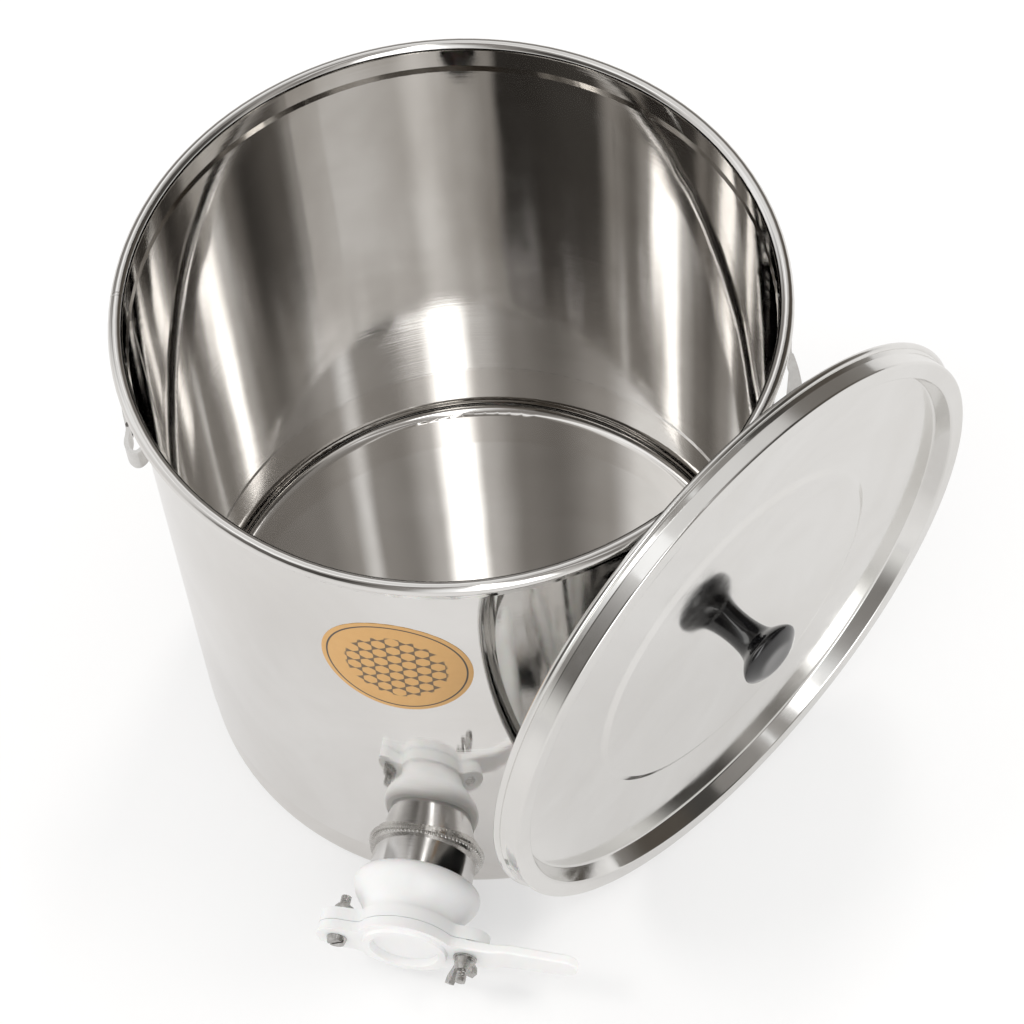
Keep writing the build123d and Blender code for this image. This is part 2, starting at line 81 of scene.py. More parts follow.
softboxSet = {
    "colour": (1.0, 0.985, 0.96),
    "aim": (0, 0, 0.2),
    "softboxLeft": {"place": (-1.5, -0.6, 2.2), "size": (0.9, 0.5), "power": 16},
    "softboxBack": {"place": (0.3, 1.9, 2.3), "size": (0.5, 1.0), "power": 16},
    "softboxRight": {"place": (1.7, 0.1, 2.3), "size": (0.5, 0.9), "power": 14},
}


def placeCamera():
    lens = bpy.data.cameras.new("photoCamera")
    lens.sensor_width = 36.0
    lens.lens = cameraSet["lens"]
    lens.clip_end = 60.0
    camera = bpy.data.objects.new("photoCamera", lens)
    camera.location = cameraSet["place"]
    camera.rotation_euler = [math.radians(a) for a in cameraSet["turn"]]
    bpy.context.scene.collection.objects.link(camera)
    bpy.context.scene.camera = camera


def newNode(tree, kind, **values):
    node = tree.nodes.new(kind)
    for name, value in values.items():
        setattr(node, name, value)
    return node


def mathNode(tree, operation, first, second=None):
    node = newNode(tree, "ShaderNodeMath", operation=operation)
    for index, value in enumerate((first, second)):
        if value is None:
            continue
        if isinstance(value, (int, float)):
            node.inputs[index].default_value = value
        else:
            tree.links.new(value, node.inputs[index])
    return node.outputs[0]


def mixColour(tree, factor, first, second, blend="MIX"):
    node = newNode(tree, "ShaderNodeMix", data_type="RGBA", blend_type=blend)
    for index, value in ((0, factor), (6, first), (7, second)):
        if isinstance(value, (int, float)):
            node.inputs[index].default_value = value
        elif isinstance(value, tuple):
            node.inputs[index].default_value = (*value, 1.0)
        else:
            tree.links.new(value, node.inputs[index])
    return node.outputs[2]


def noiseNode(tree, vector, scale, detail=3.0, rough=0.5, distortion=0.0):
    node = newNode(tree, "ShaderNodeTexNoise")
    node.inputs["Scale"].default_value = scale
    node.inputs["Detail"].default_value = detail
    node.inputs["Roughness"].default_value = rough
    node.inputs["Distortion"].default_value = distortion
    tree.links.new(vector, node.inputs["Vector"])
    return node.outputs["Fac"]


def rangeNode(tree, value, span, low=0.0, high=1.0, smooth=False):
    # value over the span becomes low to high
    node = newNode(tree, "ShaderNodeMapRange", interpolation_type="SMOOTHSTEP" if smooth else "LINEAR")
    for name, number in zip(("From Min", "From Max", "To Min", "To Max"), (*span, low, high)):
        node.inputs[name].default_value = number
    tree.links.new(value, node.inputs["Value"])
    return node.outputs["Result"]


def bumpNode(tree, height, strength, distance, normal=None):
    node = newNode(tree, "ShaderNodeBump")
    node.inputs["Strength"].default_value = strength
    node.inputs["Distance"].default_value = distance
    tree.links.new(height, node.inputs["Height"])
    if normal is not None:
        tree.links.new(normal, node.inputs["Normal"])
    return node.outputs["Normal"]


def joinPlace(tree, x, y, z):
    node = newNode(tree, "ShaderNodeCombineXYZ")
    for index, value in enumerate((x, y, z)):
        if isinstance(value, (int, float)):
            node.inputs[index].default_value = value
        else:
            tree.links.new(value, node.inputs[index])
    return node.outputs[0]


def paintBands(tree, turnPart, stops):
    # pale windows and dark walls of the room, by direction round the tank
    brightest = roomSet["brightest"]
    bands = newNode(tree, "ShaderNodeValToRGB")
    ramp = bands.color_ramp
    ramp.interpolation = "EASE"
    while len(ramp.elements) > 1:
        ramp.elements.remove(ramp.elements[-1])
    for place, (position, level) in enumerate(stops):
        element = ramp.elements[0] if place == 0 else ramp.elements.new(position)
        element.position = position
        whiteness = min(1.0, level)  # dark walls are warmer than windows
        tint = (warm + (1.0 - warm) * whiteness for warm in roomSet["warmth"])
        element.color = (*(level / brightest * part for part in tint), 1.0)
    tree.links.new(turnPart, bands.inputs[0])
    return mixColour(tree, 1.0, bands.outputs[0], (brightest,) * 3, "MULTIPLY")


def paintStudioWorld():
    world = bpy.data.worlds.new("studioRoom")
    bpy.context.scene.world = world
    world.use_nodes = True
    tree = world.node_tree
    tree.nodes.clear()
    direction = newNode(tree, "ShaderNodeTexCoord").outputs["Generated"]
    split = newNode(tree, "ShaderNodeSeparateXYZ")
    tree.links.new(direction, split.inputs[0])
    azimuth = mathNode(tree, "ARCTAN2", split.outputs["Y"], split.outputs["X"])
    turnPart = rangeNode(tree, azimuth, (-math.pi, math.pi))
    up = split.outputs["Z"]
    wallBands = paintBands(tree, turnPart, roomSet["wallBands"])
    ceilingBands = paintBands(tree, turnPart, roomSet["ceilingBands"])
    steep = rangeNode(tree, up, roomSet["ceilingFrom"], smooth=True)
    room = mixColour(tree, steep, wallBands, ceilingBands)
    # one thin tube of light across the ceiling, broken in places
    sag = rangeNode(tree, noiseNode(tree, direction, 3.0, 1.0), (0.3, 0.7), *roomSet["tubeHeight"])
    offTube = mathNode(tree, "ABSOLUTE", mathNode(tree, "SUBTRACT", up, sag))
    tube = rangeNode(tree, offTube, roomSet["tubeWidth"], 1.0, 0.0, smooth=True)
    tubePart = rangeNode(tree, noiseNode(tree, direction, 5.5, 2.0), (0.42, 0.6), smooth=True)
    room = mixColour(tree, mathNode(tree, "MULTIPLY", tube, tubePart), room, roomSet["tubeColour"])
    # pale at the horizon
    lowPart = rangeNode(tree, up, roomSet["horizonHeight"], 1.0, 0.0, smooth=True)
    room = mixColour(tree, lowPart, room, roomSet["horizonColour"])
    # the wall behind the tank is dark below the windows
    offBack = mathNode(tree, "ABSOLUTE", mathNode(tree, "SUBTRACT", turnPart, roomSet["backTurn"]))
    backPart = rangeNode(tree, offBack, roomSet["backWidth"], roomSet["backShare"], 0.0, smooth=True)
    backLow = rangeNode(tree, up, roomSet["backHeight"], 1.0, 0.0, smooth=True)
    room = mixColour(tree, mathNode(tree, "MULTIPLY", backPart, backLow), room, roomSet["backColour"])
    # steel mirrors the room, plain light fills the rest and the camera sees white
    rays = newNode(tree, "ShaderNodeLightPath")
    lit = mixColour(tree, rays.outputs["Is Glossy Ray"], (roomSet["fillLevel"],) * 3, room)
    seen = mixColour(tree, rays.outputs["Is Camera Ray"], lit, (1.0, 1.0, 1.0))
    background = newNode(tree, "ShaderNodeBackground")
    tree.links.new(seen, background.inputs["Color"])
    output = newNode(tree, "ShaderNodeOutputWorld")
    tree.links.new(background.outputs[0], output.inputs[0])


def glowOver(tree, base, colour, ray, share):
    # base, and for one kind of ray a share of plain glow
    rays = newNode(tree, "ShaderNodeLightPath")
    glow = newNode(tree, "ShaderNodeEmission")
    glow.inputs["Color"].default_value = (*colour, 1)
    blend = newNode(tree, "ShaderNodeMixShader")
    tree.links.new(mathNode(tree, "MULTIPLY", rays.outputs[ray], share), blend.inputs[0])
    tree.links.new(base, blend.inputs[1])
    tree.links.new(glow.outputs[0], blend.inputs[2])
    return blend.outputs[0]


def layStudioFloor():
    mesh = bpy.data.meshes.new("studioFloor")
    half = floorSet["half"]
    corners = [(-half, -half, 0), (half, -half, 0), (half, half, 0), (-half, half, 0)]
    mesh.from_pydata(corners, [], [(0, 1, 2, 3)])
    floor = bpy.data.objects.new("studioFloor", mesh)
    floor.location.z = -floorSet["below"]
    bpy.context.scene.collection.objects.link(floor)
    material = bpy.data.materials.new("whitePaperFloor")
    material.use_nodes = True
    tree = material.node_tree
    tree.nodes.clear()
    paper = newNode(tree, "ShaderNodeBsdfDiffuse")
    paper.inputs["Color"].default_value = (*floorSet["colour"], 1)
    seen = glowOver(tree, paper.outputs[0], (1, 1, 1), "Is Camera Ray", floorSet["cameraGlow"])
    # steel sees the paper a little greyer
    mirrored = glowOver(tree, seen, floorSet["mirroredColour"], "Is Glossy Ray", floorSet["mirroredShare"])
    output = newNode(tree, "ShaderNodeOutputMaterial")
    tree.links.new(mirrored, output.inputs[0])
    mesh.materials.append(material)


def hangSoftbox(name):
    softbox = softboxSet[name]
    light = bpy.data.lights.new(name, "AREA")
    light.shape = "RECTANGLE"
    light.size, light.size_y = softbox["size"]
    light.energy = softbox["power"]
    light.color = softboxSet["colour"]
    lamp = bpy.data.objects.new(name, light)
    lamp.location = softbox["place"]
    ahead = Vector(softboxSet["aim"]) - Vector(softbox["place"])
    lamp.rotation_euler = ahead.to_track_quat("-Z", "Y").to_euler()
    lamp.visible_glossy = False  # the room's bands give the reflections
    bpy.context.scene.collection.objects.link(lamp)


placeCamera()
paintStudioWorld()
layStudioFloor()
for softboxName in ("softboxLeft", "softboxBack", "softboxRight"):
    hangSoftbox(softboxName)
bpy.context.scene.view_settings.view_transform = "Standard"
print("camera and studio set")


def startMaterial(name):
    material = bpy.data.materials.new(name)
    material.use_nodes = True
    tree = material.node_tree
    return material, tree, tree.nodes["Principled BSDF"]


def objectPlace(tree):
    return newNode(tree, "ShaderNodeTexCoord").outputs["Object"]


def polarPlace(tree, centre=(0, 0, 0), turn=(0, 0, 0)):
    # object coordinates about a centre: place, angle round the axis, radius and height
    settle = newNode(tree, "ShaderNodeMapping", vector_type="TEXTURE")
    settle.inputs["Location"].default_value = centre
    settle.inputs["Rotation"].default_value = [math.radians(a) for a in turn]
    tree.links.new(objectPlace(tree), settle.inputs["Vector"])
    split = newNode(tree, "ShaderNodeSeparateXYZ")
    tree.links.new(settle.outputs[0], split.inputs[0])
    angle = mathNode(tree, "ARCTAN2", split.outputs["Y"], split.outputs["X"])
    across = mathNode(tree, "MULTIPLY", split.outputs["X"], split.outputs["X"])
    along = mathNode(tree, "MULTIPLY", split.outputs["Y"], split.outputs["Y"])
    radius = mathNode(tree, "SQRT", mathNode(tree, "ADD", across, along))
    return settle.outputs[0], angle, radius, split.outputs["Z"]


def stretchPlace(tree, *pairs):
    # each coordinate times its own rate, so that a grain runs one way
    parts = [mathNode(tree, "MULTIPLY", value, rate) for value, rate in pairs]
    return joinPlace(tree, *parts, *([0.0] * (3 - len(parts))))


def tintBetween(tree, mask, span, plain, worn):
    # the mask over its span goes from the plain colour to the worn one
    return mixColour(tree, rangeNode(tree, mask, span), plain, worn)


tankSet = {
    "wallRadius": 0.180,
    "colour": (0.80, 0.79, 0.775),
    "wornColour": (0.72, 0.705, 0.685),
    "rough": (0.018, 0.075),
    "anisotropy": 0.25,
    "wave": (0.14, 0.004),
    "buff": (0.06, 0.0002),
    "seamAzimuth": -171.9,
    "seamHalf": 0.0011,
    "seamEdgeWide": 0.0004,
    "seamEdgeShare": 0.45,
    "seamEdgeColour": (0.36, 0.34, 0.32),
    "seamRough": 0.12,
    "seamBump": (0.35, 0.0002),
}


def makeTankSteel():
    material, tree, shader = startMaterial("polishedTankSteel")
    place, angle, _, height = polarPlace(tree)
    arc = mathNode(tree, "MULTIPLY", angle, tankSet["wallRadius"])
    # buffing marks run round the wall, slow waves run down it
    buff = noiseNode(tree, stretchPlace(tree, (arc, 6.0), (height, 420.0)), 1.0, 4.0, 0.6)
    wave = noiseNode(tree, stretchPlace(tree, (arc, 9.0), (height, 2.2)), 1.0, 2.0, 0.5, 0.8)
    cloudy = noiseNode(tree, place, 7.0, 4.0, 0.55, 0.6)
    smudge = noiseNode(tree, place, 38.0, 5.0, 0.65, 0.3)
    colour = tintBetween(tree, cloudy, (0.35, 0.7), tankSet["colour"], tankSet["wornColour"])
    # weld seam down the wall, ground flat, with its dull edges
    half = tankSet["seamHalf"]
    turned = mathNode(tree, "SUBTRACT", angle, math.radians(tankSet["seamAzimuth"]))
    offSeam = mathNode(tree, "MULTIPLY", mathNode(tree, "ABSOLUTE", turned), tankSet["wallRadius"])
    seam = rangeNode(tree, offSeam, (half * 0.6, half * 1.3), 1.0, 0.0, smooth=True)
    offEdge = mathNode(tree, "ABSOLUTE", mathNode(tree, "SUBTRACT", offSeam, half))
    seamEdge = rangeNode(tree, offEdge, (0.0, tankSet["seamEdgeWide"]), 1.0, 0.0)
    edgeShare = mathNode(tree, "MULTIPLY", seamEdge, tankSet["seamEdgeShare"])
    colour = mixColour(tree, edgeShare, colour, tankSet["seamEdgeColour"])
    rough = rangeNode(tree, smudge, (0.35, 0.75), *tankSet["rough"])
    rough = mathNode(tree, "ADD", rough, mathNode(tree, "MULTIPLY", seam, tankSet["seamRough"]))
    waved = bumpNode(tree, wave, *tankSet["wave"])
    buffed = bumpNode(tree, buff, *tankSet["buff"], waved)
    ground = mathNode(tree, "ADD", seam, mathNode(tree, "MULTIPLY", seamEdge, -0.5))
    tree.links.new(colour, shader.inputs["Base Color"])
    tree.links.new(rough, shader.inputs["Roughness"])
    tree.links.new(bumpNode(tree, ground, *tankSet["seamBump"], buffed), shader.inputs["Normal"])
    shader.inputs["Metallic"].default_value = 1.0
    shader.inputs["Anisotropic"].default_value = tankSet["anisotropy"]
    return material


panSet = {
    "colour": (0.77, 0.755, 0.735),
    "wornColour": (0.68, 0.66, 0.635),
    "rough": (0.03, 0.11),
    "anisotropy": 0.2,
    "sway": (0.08, 0.004),
    "rings": (0.05, 0.0002),
}


def makePanSteel():
    material, tree, shader = startMaterial("spunPanSteel")
    place, angle, radius, height = polarPlace(tree)
    ringPlace = stretchPlace(tree, (radius, 380.0), (angle, 1.2), (height, 200.0))
    rings = noiseNode(tree, ringPlace, 1.0, 3.0, 0.6)
    cloudy = noiseNode(tree, place, 9.0, 4.0, 0.6, 0.8)
    sway = noiseNode(tree, place, 4.0, 2.0, 0.5, 0.3)
    colour = tintBetween(tree, cloudy, (0.35, 0.7), panSet["colour"], panSet["wornColour"])
    swayed = bumpNode(tree, sway, *panSet["sway"])
    tree.links.new(colour, shader.inputs["Base Color"])
    tree.links.new(rangeNode(tree, cloudy, (0.3, 0.75), *panSet["rough"]), shader.inputs["Roughness"])
    tree.links.new(bumpNode(tree, rings, *panSet["rings"], swayed), shader.inputs["Normal"])
    shader.inputs["Metallic"].default_value = 1.0
    shader.inputs["Anisotropic"].default_value = panSet["anisotropy"]
    return material


lidSet = {
    "centre": (0.180710, -0.086229, 0.192471),
    "turn": (90.5, 0.0, 56.25),
    "colour": (0.80, 0.795, 0.78),
    "wornColour": (0.74, 0.73, 0.71),
    "rough": (0.06, 0.17),
    "anisotropy": 0.2,
    "sway": (0.1, 0.004),
    "rings": (0.05, 0.0002),
}


def makeLidSteel():
    material, tree, shader = startMaterial("pressedLidSteel")
    place, angle, radius, _ = polarPlace(tree, lidSet["centre"], lidSet["turn"])
    rings = noiseNode(tree, stretchPlace(tree, (radius, 420.0), (angle, 1.6)), 1.0, 3.0, 0.6)
    cloudy = noiseNode(tree, place, 8.0, 4.0, 0.6, 0.9)
    smudge = noiseNode(tree, place, 55.0, 4.0, 0.6)
    sway = noiseNode(tree, place, 5.0, 2.0, 0.5, 0.4)
    colour = tintBetween(tree, cloudy, (0.35, 0.72), lidSet["colour"], lidSet["wornColour"])
    swayed = bumpNode(tree, sway, *lidSet["sway"])
    tree.links.new(colour, shader.inputs["Base Color"])
    tree.links.new(rangeNode(tree, smudge, (0.3, 0.75), *lidSet["rough"]), shader.inputs["Roughness"])
    tree.links.new(bumpNode(tree, rings, *lidSet["rings"], swayed), shader.inputs["Normal"])
    shader.inputs["Metallic"].default_value = 1.0
    shader.inputs["Anisotropic"].default_value = lidSet["anisotropy"]
    return material


outletSet = {
    "centre": (0, 0, 0.0405),
    "turn": (90, 0, 0),
    "pipeColour": (0.76, 0.75, 0.74),
    "pipeWorn": (0.62, 0.61, 0.6),
    "pipeRough": (0.1, 0.24),
    "pipeTurning": (0.12, 0.0002),
    "weldColour": (0.7, 0.69, 0.67),
    "weldBurnt": (0.45, 0.43, 0.41),
    "weldRough": (0.18, 0.36),
    "weldRate": 72.0,
    "weldRipple": (0.1, 0.0002),
    "weldGrit": (0.08, 0.0001),
}


def makePipeSteel():
    material, tree, shader = startMaterial("turnedPipeSteel")
    place, angle, _, along = polarPlace(tree, outletSet["centre"], outletSet["turn"])
    turning = noiseNode(tree, stretchPlace(tree, (along, 900.0), (angle, 1.0)), 1.0, 3.0, 0.6)
    cloudy = noiseNode(tree, place, 30.0, 3.0, 0.6)
    colour = tintBetween(tree, cloudy, (0.35, 0.7), outletSet["pipeColour"], outletSet["pipeWorn"])
    tree.links.new(colour, shader.inputs["Base Color"])
    tree.links.new(rangeNode(tree, cloudy, (0.3, 0.8), *outletSet["pipeRough"]), shader.inputs["Roughness"])
    tree.links.new(bumpNode(tree, turning, *outletSet["pipeTurning"]), shader.inputs["Normal"])
    shader.inputs["Metallic"].default_value = 1.0
    return material


def makeWeldSteel():
    material, tree, shader = startMaterial("brushedWeldSteel")
    place, angle, *_ = polarPlace(tree, outletSet["centre"], outletSet["turn"])
    ripple = mathNode(tree, "SINE", mathNode(tree, "MULTIPLY", angle, outletSet["weldRate"]))
    grit = noiseNode(tree, place, 260.0, 3.0, 0.6)
    cloudy = noiseNode(tree, place, 40.0, 3.0, 0.6)
    colour = tintBetween(tree, cloudy, (0.3, 0.75), outletSet["weldColour"], outletSet["weldBurnt"])
    rippled = bumpNode(tree, ripple, *outletSet["weldRipple"])
    tree.links.new(colour, shader.inputs["Base Color"])
    tree.links.new(rangeNode(tree, grit, (0.3, 0.7), *outletSet["weldRough"]), shader.inputs["Roughness"])
    tree.links.new(bumpNode(tree, grit, *outletSet["weldGrit"], rippled), shader.inputs["Normal"])
    shader.inputs["Metallic"].default_value = 1.0
    return material


strapSet = {
    "colour": (0.74, 0.735, 0.72),
    "wornColour": (0.6, 0.59, 0.575),
    "rough": (0.12, 0.28),
    "grainStretch": (60, 60, 900),
    "grain": (0.12, 0.0002),
}


def makeStrapSteel():
    material, tree, shader = startMaterial("bentStrapSteel")
    place = objectPlace(tree)
    stretch = newNode(tree, "ShaderNodeMapping")
    stretch.inputs["Scale"].default_value = strapSet["grainStretch"]
    tree.links.new(place, stretch.inputs["Vector"])
    grain = noiseNode(tree, stretch.outputs[0], 1.0, 3.0, 0.6)
    cloudy = noiseNode(tree, place, 45.0, 3.0, 0.6)
    colour = tintBetween(tree, cloudy, (0.35, 0.7), strapSet["colour"], strapSet["wornColour"])
    tree.links.new(colour, shader.inputs["Base Color"])
    tree.links.new(rangeNode(tree, cloudy, (0.3, 0.75), *strapSet["rough"]), shader.inputs["Roughness"])
    tree.links.new(bumpNode(tree, grain, *strapSet["grain"]), shader.inputs["Normal"])
    shader.inputs["Metallic"].default_value = 1.0
    return material


hardwareSet = {
    "colour": (0.62, 0.615, 0.6),
    "dullColour": (0.36, 0.35, 0.335),
    "rough": (0.18, 0.4),
    "plating": (0.25, 0.0001),
}


def makeHardwareZinc():
    material, tree, shader = startMaterial("platedHardware")
    place = objectPlace(tree)
    mottle = noiseNode(tree, place, 220.0, 4.0, 0.65, 0.5)
    fine = noiseNode(tree, place, 900.0, 2.0, 0.5)
    colour = tintBetween(tree, mottle, (0.3, 0.7), hardwareSet["colour"], hardwareSet["dullColour"])
    tree.links.new(colour, shader.inputs["Base Color"])
    tree.links.new(rangeNode(tree, mottle, (0.3, 0.75), *hardwareSet["rough"]), shader.inputs["Roughness"])
    tree.links.new(bumpNode(tree, fine, *hardwareSet["plating"]), shader.inputs["Normal"])
    shader.inputs["Metallic"].default_value = 1.0
    return material


gateSet = {
    "colour": (0.94, 0.94, 0.935),
    "cloudColour": (0.9, 0.9, 0.895),
    "rough": (0.3, 0.42),
    "glowWeight": 0.12,
    "glowDepth": 0.004,
    "sink": (0.15, 0.0006),
    "pores": (0.12, 0.0001),
}


def makeGatePlastic():
    material, tree, shader = startMaterial("whiteGatePlastic")
    place = objectPlace(tree)
    cloudy = noiseNode(tree, place, 24.0, 4.0, 0.6, 0.4)
    pores = noiseNode(tree, place, 700.0, 3.0, 0.6)
    sink = noiseNode(tree, place, 60.0, 2.0, 0.5)
    colour = tintBetween(tree, cloudy, (0.35, 0.7), gateSet["colour"], gateSet["cloudColour"])
    sunk = bumpNode(tree, sink, *gateSet["sink"])
    tree.links.new(colour, shader.inputs["Base Color"])
    tree.links.new(rangeNode(tree, cloudy, (0.3, 0.7), *gateSet["rough"]), shader.inputs["Roughness"])
    tree.links.new(bumpNode(tree, pores, *gateSet["pores"], sunk), shader.inputs["Normal"])
    shader.inputs["Subsurface Weight"].default_value = gateSet["glowWeight"]
    shader.inputs["Subsurface Scale"].default_value = gateSet["glowDepth"]
    return material


sealSet = {
    "colour": (0.6, 0.58, 0.54),
    "paleColour": (0.7, 0.69, 0.65),
    "rough": (0.6, 0.78),
    "grit": (0.2, 0.0001),
}


def makeSealRubber():
    material, tree, shader = startMaterial("paleSealRubber")
    grit = noiseNode(tree, objectPlace(tree), 500.0, 3.0, 0.6)
    colour = mixColour(tree, grit, sealSet["colour"], sealSet["paleColour"])
    tree.links.new(colour, shader.inputs["Base Color"])
    tree.links.new(rangeNode(tree, grit, (0.3, 0.7), *sealSet["rough"]), shader.inputs["Roughness"])
    tree.links.new(bumpNode(tree, grit, *sealSet["grit"]), shader.inputs["Normal"])
    return material


knobSet = {
    "colour": (0.006, 0.006, 0.007),
    "dustColour": (0.02, 0.02, 0.02),
    "rough": (0.03, 0.1),
    "coatWeight": 0.5,
    "coatRough": 0.05,
    "swirl": (0.08, 0.0006),
}


def makeKnobBlack():
    material, tree, shader = startMaterial("glossBlackKnob")
    place = objectPlace(tree)
    dust = noiseNode(tree, place, 420.0, 4.0, 0.7)
    swirl = noiseNode(tree, place, 70.0, 2.0, 0.5)
    colour = tintBetween(tree, dust, (0.62, 0.8), knobSet["colour"], knobSet["dustColour"])
    tree.links.new(colour, shader.inputs["Base Color"])
    tree.links.new(rangeNode(tree, dust, (0.4, 0.8), *knobSet["rough"]), shader.inputs["Roughness"])
    tree.links.new(bumpNode(tree, swirl, *knobSet["swirl"]), shader.inputs["Normal"])
    shader.inputs["Coat Weight"].default_value = knobSet["coatWeight"]
    shader.inputs["Coat Roughness"].default_value = knobSet["coatRough"]
    return material


labelSet = {
    "height": 0.2702,
    "halfWide": 0.0422,
    "halfHigh": 0.0457,
    "amber": (0.64, 0.345, 0.10),
    "paleAmber": (0.70, 0.40, 0.13),
    "ink": (0.05, 0.035, 0.02),
    "borderAt": 0.925,
    "borderWide": (0.008, 0.016),
    "combRate": 800.0,
    "combLine": (-1.05, -0.8),
    "combEdge": (0.66, 0.70),
    "combShare": 0.85,
    "rough": 0.32,
    "paper": (0.05, 0.0002),
}


def makeLabelPrint():
    # amber plate with a dark border line and a plain comb of cells
    material, tree, shader = startMaterial("amberLabelPrint")
    place = objectPlace(tree)
    split = newNode(tree, "ShaderNodeSeparateXYZ")
    tree.links.new(place, split.inputs[0])
    across = split.outputs["X"]
    up = mathNode(tree, "SUBTRACT", split.outputs["Z"], labelSet["height"])
    partAcross = mathNode(tree, "DIVIDE", across, labelSet["halfWide"])
    partUp = mathNode(tree, "DIVIDE", up, labelSet["halfHigh"])
    squares = [mathNode(tree, "MULTIPLY", part, part) for part in (partAcross, partUp)]
    reach = mathNode(tree, "SQRT", mathNode(tree, "ADD", *squares))
    offBorder = mathNode(tree, "ABSOLUTE", mathNode(tree, "SUBTRACT", reach, labelSet["borderAt"]))
    border = rangeNode(tree, offBorder, labelSet["borderWide"], 1.0, 0.0, smooth=True)
    grain = noiseNode(tree, place, 180.0, 3.0, 0.6)
    colour = mixColour(tree, grain, labelSet["amber"], labelSet["paleAmber"])
    colour = mixColour(tree, border, colour, labelSet["ink"])
    # three waves a sixth of a turn apart leave a comb where they are all low
    waves = []
    for heading in (0, 60, 120):
        rateAcross = labelSet["combRate"] * math.cos(math.radians(heading))
        rateUp = labelSet["combRate"] * math.sin(math.radians(heading))
        slantAcross = mathNode(tree, "MULTIPLY", across, rateAcross)
        slantUp = mathNode(tree, "MULTIPLY", up, rateUp)
        waves.append(mathNode(tree, "COSINE", mathNode(tree, "ADD", slantAcross, slantUp)))
    comb = mathNode(tree, "ADD", mathNode(tree, "ADD", waves[0], waves[1]), waves[2])
    cells = rangeNode(tree, comb, labelSet["combLine"], 1.0, 0.0, smooth=True)
    patch = rangeNode(tree, reach, labelSet["combEdge"], labelSet["combShare"], 0.0, smooth=True)
    colour = mixColour(tree, mathNode(tree, "MULTIPLY", cells, patch), colour, labelSet["ink"])
    tree.links.new(colour, shader.inputs["Base Color"])
    tree.links.new(bumpNode(tree, grain, *labelSet["paper"]), shader.inputs["Normal"])
    shader.inputs["Roughness"].default_value = labelSet["rough"]
    return material


finishes = {
    "tank": makeTankSteel(),
    "pan": makePanSteel(),
    "lid": makeLidSteel(),
    "pipe": makePipeSteel(),
    "weld": makeWeldSteel(),
    "strap": makeStrapSteel(),
    "zinc": makeHardwareZinc(),
    "plastic": makeGatePlastic(),
    "rubber": makeSealRubber(),
    "knob": makeKnobBlack(),
    "label": makeLabelPrint(),
}
finishFor = {
    "tank": ("tank_wall", "rim_band"),
    "pan": ("base_pan",),
    "lid": ("lid_pan",),
    "pipe": ("rim_wire", "outlet_pipe"),
    "weld": ("outlet_weld",),
    "strap": ("handle_left", "handle_right"),
    "zinc": (
        "pivot_bolt", "pivot_washer", "pivot_nut", "clamp_bolt", "clamp_washer", "wing_nut",
        "knob_screw", "knob_washer",
    ),
    "plastic": ("gate_body", "gate_lever"),
    "rubber": ("socket_gasket", "gate_seal"),
    "knob": ("lid_knob",),
    "label": ("label_oval",),
}
for finishName, nodeNames in finishFor.items():
    for nodeName in nodeNames:
        nodes[nodeName].data.materials.clear()
        nodes[nodeName].data.materials.append(finishes[finishName])
    print(finishName, "finish on", len(nodeNames), "nodes")


def placeMesh(mesh, place, turn):
    # the piece's place goes into its mesh, so that the object stays at the origin
    turned = Euler([math.radians(a) for a in turn]).to_matrix().to_4x4()
    mesh.transform(Matrix.Translation(place) @ turned)


def cleanMesh(mesh, sharpAngle, mergeWithin=None):
    work = bmesh.new()
    work.from_mesh(mesh)
    if mergeWithin is not None:
        bmesh.ops.remove_doubles(work, verts=work.verts, dist=mergeWithin)
    bmesh.ops.recalc_face_normals(work, faces=work.faces)
    work.to_mesh(mesh)
    work.free()
    mesh.shade_smooth()
    mesh.set_sharp_from_angle(angle=math.radians(sharpAngle))


lidShellSet = {
    "sheet": 0.0008,
    "ringRadius": 0.1892,
    "ringWide": 0.0108,
    "draft": 0.0038,
    "panelDeep": 0.0106,
    "domeShare": 0.637,
    "domeSlope": 0.0046,
    "domeHigh": 0.0018,
    "skirtDeep": 0.0096,
    "curlOut": 0.0012,
    "curlDeep": 0.014,
    "curlRadius": 0.0022,
    "hole": 0.0032,
    "frontRounding": 0.0015,
    "backRounding": 0.0012,
    "heldEdge": 0.00025,
    "steps": 360,
    "cornerSteps": 5,
    "curlSteps": 24,
    "sharpAngle": 40,
}


def roundCorners(points, radius):
    # the line through the points with its corners rounded and a held edge beside each
    held = lidShellSet["heldEdge"]
    steps = lidShellSet["cornerSteps"]
    soft = [points[0]]
    for before, corner, after in zip(points, points[1:], points[2:]):
        back = (before - corner).normalized()
        ahead = (after - corner).normalized()
        half = back.angle(ahead) / 2
        reach = radius / math.tan(half)
        centre = corner + (back + ahead).normalized() * (radius / math.sin(half))
        start = corner + back * reach
        finish = corner + ahead * reach
        first = math.atan2(*(start - centre).yx)
        sweep = math.atan2(*(finish - centre).yx) - first
        sweep = (sweep + math.pi) % (2 * math.pi) - math.pi
        soft.append(start + back * held)
        for step in range(steps + 1):
            angle = first + sweep * step / steps
            soft.append(centre + Vector((math.cos(angle), math.sin(angle))) * radius)
        soft.append(finish + ahead * held)
    soft.append(points[-1])
    return soft


def spinProfile(vertices, faces, outline):
    # one closed outline carried round the axis
    steps = lidShellSet["steps"]
    first = len(vertices)
    count = len(outline)
    for step in range(steps):
        angle = 2 * math.pi * step / steps
        for radius, height in outline:
            vertices.append((radius * math.cos(angle), radius * math.sin(angle), height))
    for step in range(steps):
        here = first + step * count
        there = first + ((step + 1) % steps) * count
        for index in range(count):
            following = (index + 1) % count
            faces.append((here + index, here + following, there + following, there + index))


